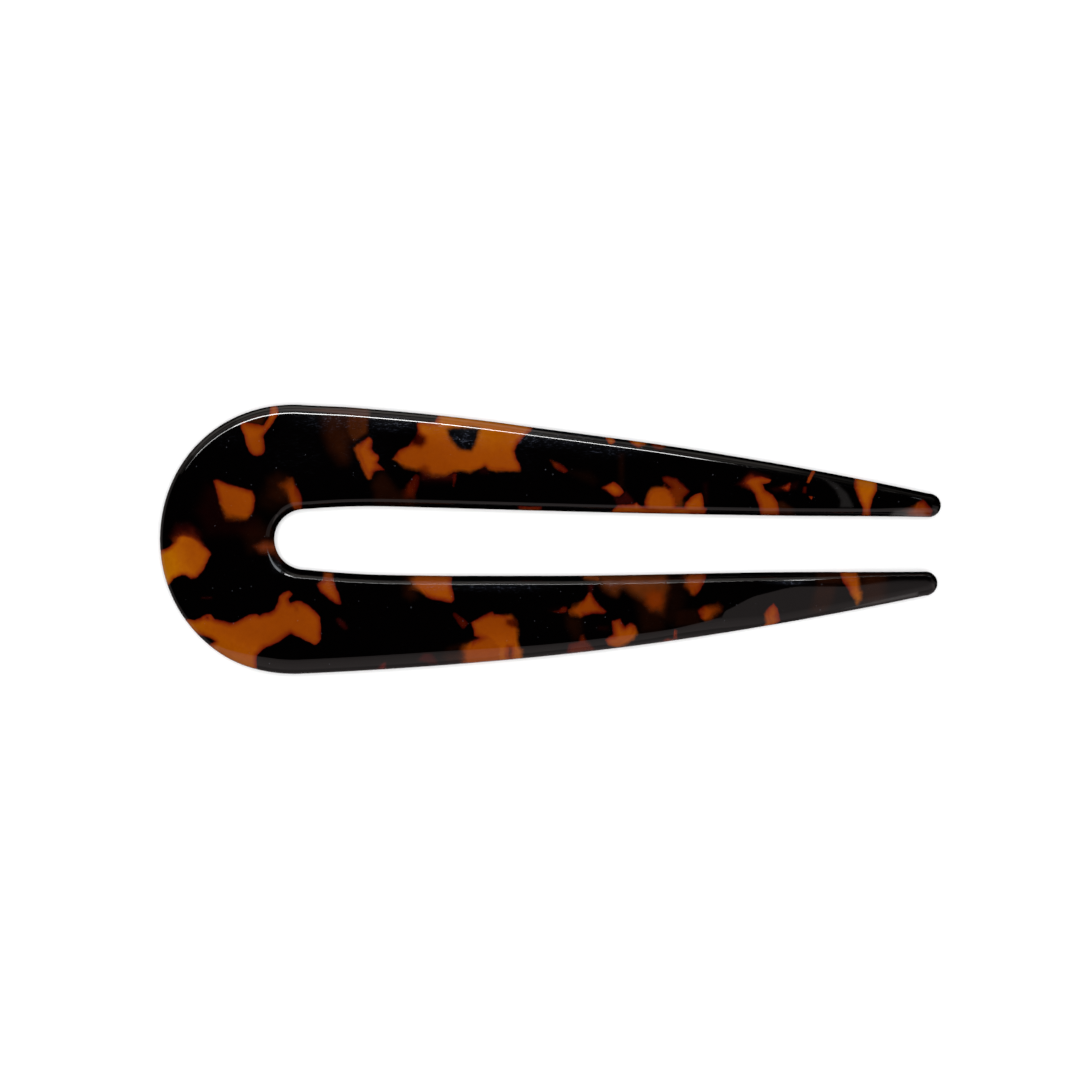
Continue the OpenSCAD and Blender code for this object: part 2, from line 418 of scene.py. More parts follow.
# The pattern: where the sheet's black horn colour gives way to amber, read off the photograph against a
# ruler. Each flake has an outline in plan and these columns: name, glow (1 is full amber), soft (mm over
# which its edge fades), lean (the bearing in degrees from +x on which it fades more), fade (mm more there),
# outline.
FLAKES = [
    ("arrow", 0.86, 0.14, 0, 0.0, [
        (-43.7, 16.2), (-43.4, 16.5), (-42.0, 16.3), (-40.5, 15.9), (-39.8, 17.0), (-39.6, 18.2),
        (-39.5, 19.6), (-38.7, 19.6), (-38.6, 18.7), (-38.3, 17.8), (-39.2, 16.2), (-40.5, 14.4),
        (-40.3, 13.6), (-40.2, 12.6), (-40.6, 11.9), (-41.3, 11.6), (-41.9, 11.8), (-42.5, 12.4),
        (-42.9, 13.4), (-43.2, 14.6), (-43.6, 15.4)]),
    ("block", 0.88, 0.3, 250, 2.0, [
        (-47.4, 8.2), (-46.8, 8.3), (-44.3, 7.4), (-41.9, 6.8), (-41.6, 5.8), (-41.7, 4.0), (-42.4, 2.6),
        (-46.0, 2.4), (-46.5, 4.5), (-47.0, 6.8)]),
    ("wedge", 0.63, 0.2, 185, 3.4, [
        (-38.6, 8.2), (-37.2, 9.0), (-36.3, 8.7), (-35.6, 7.3), (-34.9, 5.8), (-35.0, 4.0), (-36.3, 4.0),
        (-37.2, 5.5), (-38.6, 7.2)]),
    ("left_end", 1.08, 0.25, 85, 2.8, [
        (-56.0, -1.8), (-54.7, -1.65), (-53.8, -1.3), (-53.1, -0.65), (-53.6, 0.2), (-52.9, 1.3),
        (-51.6, 1.7), (-50.3, 1.4), (-49.3, 0.4), (-48.5, -0.8), (-47.7, -2.2), (-48.2, -3.3), (-48.7, -4.3),
        (-49.6, -5.5), (-50.5, -5.6), (-51.2, -5.2), (-51.8, -5.1), (-52.7, -5.6), (-53.6, -6.5),
        (-55.2, -7.4), (-56.4, -5.0)]),
    ("low_left", 0.84, 0.14, 60, 0.0, [
        (-51.6, -11.2), (-49.9, -11.5), (-49.0, -11.1), (-48.3, -10.6), (-47.6, -10.6), (-47.1, -11.2),
        (-46.0, -11.5), (-45.0, -11.8), (-44.2, -11.7), (-43.4, -11.2), (-42.3, -10.6), (-41.2, -10.45),
        (-40.8, -10.75), (-40.3, -10.4), (-39.4, -10.3), (-38.7, -9.8), (-38.2, -8.9), (-38.1, -8.0),
        (-37.5, -7.5), (-36.7, -7.2), (-36.2, -7.7), (-36.8, -8.4), (-36.5, -8.9), (-35.7, -8.65),
        (-34.9, -8.7), (-33.9, -9.3), (-33.0, -10.0), (-32.3, -10.9), (-32.2, -12.3), (-32.1, -13.8),
        (-32.3, -14.5), (-33.0, -14.8), (-34.0, -14.3), (-35.1, -13.7), (-36.4, -13.3), (-37.1, -13.6),
        (-38.1, -14.4), (-39.2, -15.0), (-40.1, -15.3), (-41.1, -16.3), (-41.2, -19.6), (-47.0, -20.0),
        (-53.0, -13.0)]),
    ("kite", 0.88, 0.18, 90, 0.6, [
        (-31.9, -4.2), (-30.4, -4.2), (-30.3, -5.6), (-30.1, -6.6), (-29.7, -7.8), (-29.3, -9.0),
        (-29.6, -9.15), (-31.0, -8.4), (-32.3, -7.3), (-32.9, -6.3), (-32.1, -5.6)]),
    ("slant", 0.97, 0.18, 200, 0.5, [
        (-28.0, 13.0), (-26.8, 13.8), (-25.6, 14.6), (-25.1, 14.1), (-25.2, 12.9), (-24.9, 12.3),
        (-24.3, 11.9), (-24.1, 11.4), (-24.4, 10.9), (-23.4, 9.8), (-24.2, 9.9), (-24.9, 9.4), (-25.2, 8.6),
        (-25.7, 8.3), (-26.3, 9.1), (-26.7, 10.2), (-27.3, 11.4)]),
    ("fin", 0.21, 0.2, 215, 1.6, [
        (-21.2, 7.1), (-19.0, 9.35), (-18.5, 9.0), (-18.6, 7.4), (-19.0, 5.6), (-20.6, 5.4)]),
    ("big_upper", 0.92, 0.3, 265, 1.3, [
        (-22.3, 11.4), (-21.4, 12.6), (-20.0, 13.3), (-19.3, 14.1), (-18.7, 15.4), (-18.9, 16.5),
        (-16.4, 16.6), (-15.6, 18.6), (-2.0, 17.4), (-3.0, 15.4), (-3.8, 14.6), (-4.8, 13.6), (-5.2, 12.6),
        (-4.8, 11.4), (-4.2, 10.2), (-4.3, 9.7), (-7.8, 9.75), (-8.9, 9.9), (-9.3, 10.4), (-10.2, 9.9),
        (-11.4, 9.4), (-13.1, 9.6), (-14.9, 8.9), (-16.4, 8.7), (-17.8, 9.0), (-18.7, 9.55), (-19.6, 9.6),
        (-21.2, 10.4)]),
    ("spike", 0.34, 0.14, 0, 0.0, [
        (-13.8, 9.4), (-13.3, 9.4), (-13.4, 8.3), (-13.5, 7.4), (-13.8, 7.5), (-13.75, 8.4)]),
    ("slot_thread", 0.66, 0.2, 0, 0.0, [(-4.6, 4.9), (-1.3, 4.85), (-1.3, 4.1), (-4.4, 4.1)]),
    ("low_slot", 0.92, 0.2, 190, 2.8, [
        (-20.6, -4.2), (-13.9, -4.2), (-13.8, -6.4), (-13.4, -8.3), (-13.9, -8.8), (-15.3, -8.5),
        (-16.7, -8.2), (-18.4, -7.5), (-20.0, -6.9)]),
    ("chip", 0.18, 0.2, 0, 0.0, [
        (-13.6, -10.1), (-13.0, -10.3), (-12.0, -11.0), (-11.4, -11.6), (-11.9, -12.2), (-12.2, -12.5),
        (-13.0, -11.4), (-13.6, -10.6)]),
    ("low_bright", 0.78, 0.2, 10, 0.8, [
        (-11.2, -11.5), (-9.6, -10.6), (-8.1, -9.9), (-7.8, -10.3), (-6.0, -10.2), (-5.2, -10.2),
        (-4.6, -11.1), (-4.3, -12.4), (-4.2, -14.6), (-3.7, -15.2), (-3.4, -18.0), (-7.4, -18.4),
        (-7.8, -15.4), (-8.9, -13.9), (-10.6, -13.4), (-10.7, -12.6)]),
    ("low_bright_foot", 0.66, 0.3, 190, 3.4, [
        (-13.0, -14.6), (-10.4, -13.9), (-8.6, -13.0), (-6.0, -14.0), (-6.4, -18.4), (-13.0, -18.0)]),
    ("leaf", 0.98, 0.14, 200, 0.4, [
        (6.9, 7.6), (8.1, 8.2), (8.8, 8.5), (9.4, 8.1), (10.3, 7.0), (9.6, 6.4), (8.9, 6.3), (8.0, 6.9)]),
    ("dot_upper", 0.5, 0.2, 160, 0.5, [
        (-0.2, 11.5), (1.1, 11.1), (1.8, 10.6), (2.4, 9.9), (1.9, 9.6), (1.0, 9.9), (0.4, 10.4)]),
    ("slot_run", 1.15, 0.25, 0, 0.0, [
        (8.2, 3.9), (9.3, 5.2), (11.6, 5.3), (12.0, 5.6), (12.7, 5.1), (13.4, 4.9), (22.0, 4.9),
        (21.8, 3.9)]),
    ("round", 0.96, 0.26, 100, 0.5, [
        (13.2, 4.1), (13.1, 5.8), (13.4, 6.9), (14.1, 7.7), (15.1, 8.0), (16.0, 8.0), (16.9, 7.5),
        (17.6, 6.2), (17.6, 4.1)]),
    ("round_two", 0.44, 0.35, 235, 1.6, [
        (15.7, 9.1), (16.6, 9.2), (17.6, 9.0), (18.5, 8.2), (19.5, 7.2), (18.7, 6.4), (18.2, 5.0),
        (17.0, 4.4), (16.6, 6.2), (15.9, 7.8)]),
    ("round_three", 1.02, 0.14, 0, 0.0, [
        (18.3, 3.9), (18.9, 5.6), (19.6, 6.3), (20.4, 6.8), (21.1, 7.1), (21.4, 6.3), (21.6, 5.2),
        (21.8, 3.9)]),
    ("rim_upper_one", 1.15, 0.2, 0, 0.0, [(7.4, 15.2), (8.7, 15.0), (9.0, 14.0), (8.2, 13.6), (7.7, 14.4)]),
    ("rim_upper_two", 0.95, 0.25, 0, 0.3, [
        (10.6, 14.8), (13.0, 14.4), (13.6, 13.8), (12.2, 13.2), (11.4, 13.7)]),
    ("rim_upper_three", 0.3, 0.3, 0, 0.6, [(13.9, 14.2), (16.6, 13.9), (15.6, 12.9), (14.4, 13.1)]),
    ("star", 0.72, 0.2, 180, 1.8, [
        (2.2, -9.4), (3.0, -8.7), (4.0, -8.5), (4.8, -8.0), (5.3, -7.2), (5.6, -6.8), (5.9, -7.4),
        (6.3, -8.2), (7.0, -8.9), (8.0, -9.8), (7.6, -10.1), (5.8, -10.15), (5.0, -10.4), (4.2, -10.8),
        (3.0, -10.7), (2.2, -10.3)]),
    ("star_point", 0.32, 0.2, 180, 0.6, [
        (-0.4, -9.7), (1.2, -9.7), (1.8, -9.1), (2.4, -9.2), (2.4, -9.8), (1.6, -10.1), (0.4, -10.0)]),
    ("rim_low", 0.2, 0.4, 60, 0.4, [
        (4.2, -13.1), (4.8, -13.0), (5.3, -14.0), (6.3, -14.9), (6.4, -16.6), (2.2, -16.9), (2.6, -14.4),
        (4.0, -14.0)]),
    ("low_spot", 0.55, 1.7, 0, 0.0, [
        (13.5, -7.2), (14.5, -6.8), (15.6, -7.2), (15.9, -8.3), (15.4, -9.2), (14.3, -9.3), (13.5, -8.4)]),
    ("low_slot_two", 0.7, 0.16, 180, 2.2, [
        (18.0, -3.9), (22.2, -3.9), (21.7, -5.6), (21.0, -6.9), (20.3, -7.7), (19.6, -7.6), (18.6, -6.6)]),
    ("boot", 0.74, 0.2, 300, 0.7, [
        (8.7, -11.1), (9.9, -10.75), (10.5, -11.9), (11.3, -11.2), (12.1, -11.7), (12.4, -12.8),
        (12.0, -13.8), (10.9, -14.6), (9.6, -15.2), (8.2, -14.6), (7.6, -13.7), (8.9, -13.0)]),
    ("tail", 0.55, 0.3, 350, 2.6, [
        (20.7, -9.5), (21.6, -8.9), (22.8, -8.4), (23.8, -8.2), (24.4, -9.0), (24.0, -10.2), (22.8, -11.0),
        (21.8, -11.2), (21.1, -10.6)]),
    ("rim_low_two", 0.6, 0.3, 0, 0.2, [(15.6, -14.2), (16.4, -13.5), (17.4, -13.6), (17.2, -14.6)]),
    ("rim_low_three", 0.8, 0.25, 0, 0.2, [(17.5, -12.3), (17.9, -12.4), (18.0, -13.6), (17.4, -13.6)]),
    ("hook", 0.82, 0.18, 165, 1.4, [
        (26.3, 8.2), (27.2, 9.3), (28.1, 9.9), (29.4, 9.4), (30.9, 8.9), (30.7, 8.5), (29.7, 8.3),
        (30.1, 7.4), (31.2, 6.7), (31.9, 5.7), (32.2, 3.8), (29.5, 3.8), (29.2, 5.3), (28.6, 6.8),
        (27.4, 7.6)]),
    ("hook_two", 0.88, 0.2, 200, 1.0, [(31.8, 7.8), (32.8, 8.2), (33.8, 8.6), (33.5, 7.4), (33.1, 7.2)]),
    ("needle", 0.85, 0.14, 0, 0.0, [
        (36.7, 10.4), (37.3, 10.3), (36.7, 9.2), (36.3, 8.4), (35.8, 8.5), (36.1, 9.2)]),
    ("needle_two", 0.2, 0.25, 0, 0.0, [(35.5, 8.0), (35.9, 8.0), (35.8, 7.1), (35.3, 7.1)]),
    ("needle_dot", 0.9, 0.12, 0, 0.0, [(36.3, 6.6), (36.8, 6.6), (36.6, 6.1)]),
    ("band_upper", 0.92, 0.14, 180, 0.2, [
        (42.6, 9.8), (45.9, 9.4), (45.8, 7.6), (45.2, 6.2), (44.9, 5.0), (45.2, 3.4), (43.6, 3.4),
        (43.8, 5.0), (43.2, 6.3), (42.6, 7.8)]),
    ("tip_upper", 0.56, 0.2, 190, 2.0, [
        (49.4, 4.8), (51.0, 5.6), (52.3, 6.4), (52.9, 5.7), (53.7, 4.8), (53.4, 3.4), (49.8, 3.4)]),
    ("low_band", 0.72, 0.16, 215, 0.9, [
        (29.9, -10.1), (30.6, -9.1), (31.5, -8.4), (32.0, -9.2), (32.4, -10.4), (32.6, -12.2), (30.4, -12.4),
        (30.1, -10.9)]),
    ("low_tooth", 0.98, 0.16, 0, 1.0, [
        (40.5, -3.4), (43.6, -3.3), (43.6, -5.4), (44.2, -6.8), (44.0, -8.0), (43.2, -8.8), (42.4, -7.6),
        (41.7, -6.3), (41.0, -5.2)]),
]

# Soft flakes whose fading side turns red first
RED_EDGED = {"left_end", "leaf", "hook", "hook_two"}

# Black that cuts into the flakes, with its soft edge wholly inside its outline
SHADES = [
    ("rim_notch", 0.3, [(-49.6, -13.4), (-47.6, -13.8), (-46.9, -14.4), (-47.7, -15.0), (-48.6, -15.4)]),
    ("speck", 0.2, [(-48.4, -10.9), (-48.0, -10.9), (-48.0, -11.2), (-48.4, -11.2)]),
    ("oval", 0.9, [
        (-15.4, 16.1), (-15.0, 14.7), (-14.2, 13.4), (-12.9, 12.3), (-11.0, 12.1), (-10.2, 13.2),
        (-9.85, 14.6), (-9.6, 16.2), (-12.6, 16.5)]),
    ("rim_gap", 0.5, [(-5.9, -14.7), (-5.2, -14.7), (-5.2, -17.8), (-5.9, -17.8)]),
    ("dark_line", 0.22, [(15.2, 8.6), (16.1, 8.6), (17.0, 7.7), (16.7, 7.4), (15.9, 8.1)]),
]

# Dull places inside the flakes: name, share of the glow that is lost, soft, outline
DULLS = [
    ("upper_notch", 0.88, 1.0, [
        (-20.3, 15.2), (-18.5, 15.7), (-17.1, 14.8), (-17.1, 13.5), (-18.2, 12.5), (-20.0, 13.0)]),
    ("lower_dent", 0.5, 0.9, [(-19.0, 10.4), (-17.8, 11.2), (-16.6, 10.4), (-16.8, 8.8), (-18.8, 8.8)]),
    ("low_corner", 0.75, 0.7, [(-6.6, -10.8), (-4.4, -10.4), (-4.0, -12.4), (-5.4, -12.5), (-6.4, -11.9)]),
    ("left_top_speck", 0.6, 0.3, [(-52.6, 0.6), (-52.0, 0.6), (-52.0, 0.1), (-52.6, 0.1)]),
    ("low_left_cloud", 0.3, 0.5, [(-36.3, -9.0), (-35.2, -9.2), (-35.0, -10.6), (-36.0, -10.2)]),
    ("arrow_top", 0.25, 1.2, [(-43.8, 16.8), (-40.6, 16.4), (-40.8, 14.8), (-43.4, 15.0)]),
]

# Painted sheen: places where an even grey, added to the colour, stands in for reflected light that makes
# them look paler: name, grey, soft, outline
PAINTED_SHEENS = [
    ("upper_tip", 0.05, 0.9, [
        (46.2, 3.3), (48.2, 4.9), (50.6, 5.3), (52.6, 4.9), (53.4, 3.9), (52.8, 2.9), (47.0, 2.9)]),
    ("upper_rim_band", 0.022, 0.3, [
        (-42.0, 17.0), (-38.5, 17.9), (-36.0, 17.95), (-33.0, 17.85), (-30.0, 17.65), (-27.0, 17.45),
        (-25.4, 17.35), (-25.4, 18.1), (-30.0, 18.45), (-36.0, 18.65), (-38.5, 18.45)]),
    ("lower_tip_rim", 0.035, 0.25, [
        (38.0, -9.9), (46.0, -8.5), (51.8, -7.3), (51.8, -6.6), (46.0, -7.9), (41.0, -9.1)]),
    ("upper_blade", 0.0085, 0.5, [
        (36.8, 9.6), (38.6, 9.3), (40.3, 8.6), (41.8, 7.2), (42.6, 5.6), (42.7, 4.9), (40.4, 4.9),
        (40.5, 6.0), (39.9, 7.3), (38.6, 8.6)]),
]

# Brown where amber shows dimly through the black: name, brown (its red, in linear light),
# red (the same for a redder zone), soft (mm), outline
HAZES = [
    ("arrow_web", 0.021, 0.0, 0.7, [(-43.6, 16.0), (-42.0, 17.6), (-39.9, 17.7), (-40.4, 15.8)]),
    ("block_left", 0.0, 0.0025, 2.4, [
        (-51.0, 4.0), (-49.0, 8.6), (-46.0, 8.6), (-40.0, 3.6), (-40.0, -0.5), (-49.0, -0.5)]),
    ("slot_end", 0.0022, 0.0, 2.0, [
        (-42.0, 6.0), (-40.4, 9.6), (-38.5, 10.2), (-36.6, 9.4), (-35.8, 7.4), (-35.6, 4.0), (-39.5, 3.0),
        (-42.0, 4.0)]),
    ("wedge_round", 0.007, 0.0, 2.0, [
        (-41.0, 5.4), (-40.6, 9.0), (-38.6, 10.2), (-36.4, 9.6), (-35.3, 7.4), (-35.2, 4.2), (-38.6, 4.2)]),
    ("slot_left", 0.0045, 0.0, 2.4, [
        (-44.6, 1.6), (-41.0, 3.6), (-37.6, 1.6), (-37.6, -3.6), (-40.0, -2.8), (-43.0, -2.8)]),
    ("slot_left_core", 0.15, 0.06, 2.6, [
        (-42.4, -0.9), (-40.6, 0.3), (-36.2, 0.6), (-36.2, -3.8), (-38.2, -3.5), (-39.0, -2.6),
        (-41.0, -2.4)]),
    ("left_end_top", 0.0, 0.008, 1.4, [
        (-54.4, -0.2), (-53.0, 2.6), (-50.6, 2.8), (-48.6, 1.2), (-48.4, -0.6), (-51.5, -0.6)]),
    ("streak", 0.0, 0.0095, 0.22, [(-49.1, -8.1), (-47.4, -8.1), (-47.4, -8.5), (-49.1, -8.5)]),
    ("upper_rim", 0.012, 0.0, 2.6, [
        (-33.4, 20.4), (-24.8, 20.4), (-25.6, 15.6), (-25.2, 14.6), (-27.3, 13.0), (-27.4, 11.0),
        (-28.3, 9.6), (-30.4, 9.8), (-32.0, 12.0), (-33.0, 14.5)]),
    ("upper_rim_edge", 0.032, 0.0, 0.7, [
        (-29.0, 19.4), (-25.3, 19.0), (-25.6, 14.9), (-27.8, 13.4), (-29.0, 15.0)]),
    ("upper_rim_outer", 0.032, 0.0, 0.4, [
        (-37.0, 18.3), (-33.0, 17.9), (-30.0, 17.65), (-27.0, 17.45), (-25.4, 17.35), (-25.4, 18.2),
        (-30.0, 18.5), (-33.0, 18.6)]),
    ("under_slant", 0.0052, 0.0, 1.3, [
        (-24.4, 10.1), (-23.1, 10.0), (-21.2, 7.5), (-20.4, 7.2), (-18.7, 6.2), (-18.6, 4.0), (-25.4, 4.0),
        (-25.4, 6.5), (-25.8, 7.5), (-25.6, 8.5)]),
    ("under_slant_edge", 0.0075, 0.0, 1.3, [
        (-21.8, 7.6), (-20.4, 7.3), (-18.6, 6.2), (-18.5, 4.0), (-22.4, 4.0)]),
    ("under_big", 0.0, 0.003, 1.4, [(-18.5, 9.6), (-13.2, 9.8), (-13.4, 7.6), (-18.3, 7.4)]),
    ("under_big_edge", 0.0, 0.015, 1.0, [(-18.9, 10.4), (-12.9, 10.4), (-13.1, 8.1), (-18.5, 8.1)]),
    ("under_big_right", 0.0, 0.006, 0.9, [(-10.4, 10.8), (-8.4, 10.8), (-8.4, 9.0), (-10.4, 9.2)]),
    ("low_slot_left", 0.008, 0.0, 1.9, [
        (-21.6, -3.8), (-18.0, -3.8), (-18.0, -8.4), (-19.6, -9.2), (-21.2, -8.2)]),
    ("crumb", 0.0, 0.017, 0.5, [
        (-30.3, -10.9), (-29.6, -10.8), (-28.7, -11.5), (-28.1, -12.7), (-28.8, -12.8), (-29.6, -12.2),
        (-30.0, -11.6)]),
    ("low_bright_tail", 0.006, 0.0, 1.4, [
        (-9.8, -13.0), (-12.0, -13.8), (-14.6, -14.6), (-15.6, -16.0), (-9.6, -15.8)]),
    ("low_bright_near", 0.035, 0.0, 1.5, [
        (-9.4, -13.2), (-11.0, -13.6), (-12.6, -14.2), (-13.2, -15.6), (-12.6, -17.2), (-9.4, -17.0)]),
    ("low_bright_rim", 0.012, 0.0, 1.8, [
        (-10.4, -14.6), (-14.8, -15.2), (-16.0, -16.4), (-14.6, -18.0), (-10.4, -17.6)]),
    ("rim_chip", 0.0, 0.07, 0.5, [(-25.0, -19.2), (-23.8, -17.3), (-22.9, -16.9), (-22.9, -19.2)]),
    ("rim_chip_two", 0.0, 0.022, 0.5, [
        (-18.9, -17.0), (-17.8, -15.7), (-16.4, -15.7), (-15.7, -16.8), (-15.5, -17.6), (-17.0, -17.5)]),
    ("rim_chip_three", 0.0, 0.02, 0.5, [(-37.0, -18.8), (-30.0, -18.6), (-30.0, -19.6), (-37.0, -19.6)]),
    ("trail", 0.0019, 0.0, 1.3, [(1.8, 10.8), (5.8, 10.4), (7.4, 8.6), (6.2, 7.2), (4.4, 8.0), (1.8, 9.3)]),
    ("trail_up", 0.0032, 0.0, 0.8, [(9.1, 12.8), (10.6, 12.8), (10.6, 7.2), (9.1, 7.2)]),
    ("leaf_foot", 0.0, 0.0135, 0.4, [
        (8.6, 6.5), (9.7, 6.4), (10.5, 7.3), (11.6, 6.1), (12.0, 5.3), (9.2, 5.1)]),
    ("round_foot", 0.045, 0.0, 0.8, [(16.4, 8.2), (17.6, 7.6), (19.0, 5.6), (18.8, 3.8), (16.8, 3.8)]),
    ("round_edge", 0.0, 0.004, 1.0, [(21.0, 8.6), (22.4, 9.0), (22.4, 5.2), (21.2, 5.2)]),
    ("stem", 0.0, 0.018, 0.6, [(5.2, -5.6), (6.4, -5.6), (6.1, -7.4), (5.3, -7.4)]),
    ("star_foot", 0.0048, 0.0, 1.5, [
        (1.4, -9.4), (5.0, -10.2), (5.2, -12.6), (4.6, -14.4), (3.0, -14.4), (1.8, -12.2)]),
    ("star_left", 0.0, 0.0015, 0.7, [(-0.6, -9.3), (2.4, -8.6), (2.6, -10.2), (-0.4, -10.2)]),
    ("low_middle", 0.066, 0.0, 1.8, [
        (4.6, -3.4), (6.2, -5.9), (7.2, -7.3), (8.4, -8.0), (9.7, -8.3), (10.3, -7.2), (11.2, -8.0),
        (12.6, -8.9), (16.6, -8.3), (17.4, -6.5), (16.8, -3.4)]),
    ("spot_round", 0.03, 0.0, 2.4, [
        (11.8, -4.8), (16.6, -4.6), (17.6, -7.4), (16.6, -11.4), (13.4, -10.6), (12.0, -8.0)]),
    ("low_middle_lower", 0.004, 0.0, 2.0, [
        (10.8, -7.0), (17.2, -6.6), (16.8, -12.4), (15.4, -13.4), (12.0, -13.6), (11.7, -10.2)]),
    ("low_right", 0.0024, 0.0, 2.0, [
        (15.0, -3.4), (20.0, -3.4), (19.8, -8.0), (19.0, -12.2), (15.0, -12.2)]),
    ("tail_left", 0.0035, 0.0, 0.9, [(17.2, -9.0), (21.4, -9.0), (21.6, -12.0), (17.2, -12.2)]),
    ("low_slot_lip", 0.12, 0.0, 0.5, [(4.0, -4.0), (7.4, -4.0), (7.0, -5.8), (4.6, -5.4)]),
    ("boot_left", 0.0, 0.003, 0.6, [(6.4, -11.6), (8.6, -11.6), (8.4, -12.8), (6.6, -12.6)]),
    ("hook_foot", 0.011, 0.0, 0.7, [(31.4, 3.6), (34.6, 3.6), (34.4, 5.0), (32.6, 6.2), (31.0, 6.0)]),
    ("hook_left", 0.0, 0.015, 1.2, [(25.4, 8.0), (28.0, 10.6), (31.0, 9.6), (31.0, 8.4), (28.0, 7.4)]),
    ("hook_edge", 0.0, 0.005, 0.8, [(30.2, 7.8), (35.2, 9.2), (34.8, 7.4), (31.4, 6.8)]),
    ("low_patch", 0.0065, 0.0, 1.2, [
        (37.2, -5.2), (40.8, -5.4), (40.4, -8.2), (38.8, -10.6), (35.9, -10.2), (36.4, -7.5)]),
    ("slot_brown", 0.009, 0.0, 0.9, [(36.8, -3.2), (41.4, -3.2), (41.4, -6.0), (37.2, -6.0)]),
    ("tooth_edge", 0.009, 0.0, 2.0, [(42.6, -3.0), (48.2, -3.0), (48.0, -9.0), (43.0, -9.4)]),
]

# Slide of the chart in x and y for each millimetre below the middle of the thickness
SLANT_X = 1.3
SLANT_Y = -0.6
# Height above which the painted sheen shows
PAINTED_SHEEN_FROM = 1.2

# Places where the polish is rubbed, with fine scratches, and where a painted glint stands in for the light
# that the scratches catch: x, y, half widths along x and y, strength
RUBS_AND_GLINTS = [
    (-22.3, 16.5, 3.6, 0.9, 0.7), (-12.2, 14.9, 2.2, 1.6, 0.8), (-15.9, 16.1, 2.4, 0.8, 0.6),
    (-3.4, 14.8, 2.4, 1.2, 0.8), (2.6, 14.4, 4.6, 1.0, 0.7), (8.6, 13.0, 4.0, 0.9, 0.4),
    (-31.0, 16.8, 4.5, 1.2, 0.4), (-45.0, 14.2, 3.5, 1.2, 0.07), (-7.5, -6.4, 4.8, 0.5, 0.7),
    (-38.4, -3.6, 0.7, 0.8, 0.5), (-5.0, 11.5, 3.0, 2.0, 0.06), (-36.0, 12.0, 5.0, 3.0, 0.04),
    (-27.0, 13.0, 3.0, 3.0, 0.08), (8.6, -6.0, 0.7, 0.5, 0.7), (10.6, -6.1, 1.4, 0.6, 0.1),
    (33.5, -5.55, 1.8, 0.2, 1.8), (-16.0, -6.3, 2.0, 0.7, 0.6), (-31.0, -6.0, 1.2, 1.0, 0.3),
]


def signed_distance(x, y, outline):
    """Distance from each place to an outline, positive inside it. Each side of the outline is
    taken in turn for all places at once, and inside comes from counting crossings."""
    corners = np.array(outline, dtype=float)
    best = np.full(x.shape, 1e9)
    inside = np.zeros(x.shape, dtype=bool)
    for (ax, ay), (bx, by) in zip(corners, np.roll(corners, -1, axis=0)):
        ex, ey = bx - ax, by - ay
        share = np.clip(((x - ax) * ex + (y - ay) * ey) / (ex * ex + ey * ey), 0.0, 1.0)
        best = np.minimum(best, (x - ax - share * ex) ** 2 + (y - ay - share * ey) ** 2)
        if ey != 0.0:
            inside ^= ((ay > y) != (by > y)) & (x < ax + (y - ay) * ex / ey)
    return np.where(inside, 1.0, -1.0) * np.sqrt(best)


def within(x, y, outline, soft):
    """Smooth step from 0 at an outline to 1 at a depth of soft inside it."""
    return ease(signed_distance(x, y, outline), 0.0, soft)


def leaning(x, y, outline, lean):
    """How far each place lies towards the outline's side on the bearing lean: a smooth step up to
    1 at its rim there, from about 3 mm short of that or from near the flake's far side."""
    corners = np.array(outline, dtype=float)
    way = np.array([math.cos(math.radians(lean)), math.sin(math.radians(lean))])
    along = corners @ way
    start = max(0.9 * along.min() + 0.1 * along.max(), along.max() - 3.2)
    return ease(x * way[0] + y * way[1], start, along.max())


def rim_distance(x, y):
    """Distance in plan from the outer rim."""
    round_head = HEAD_R - np.hypot(x - HEAD_X, y)
    return np.where(x < HEAD_X, round_head, side_reach(np.maximum(x, HEAD_X)) - np.abs(y))


def slot_distance(x, y):
    """Distance in plan from the slot's edge."""
    beside = np.abs(y) - slot_reach(x) - slot_gap(x) * (y < 0.0)
    return np.where(x > SLOT_X, beside, np.hypot(x - SLOT_X, y) - SLOT_R)


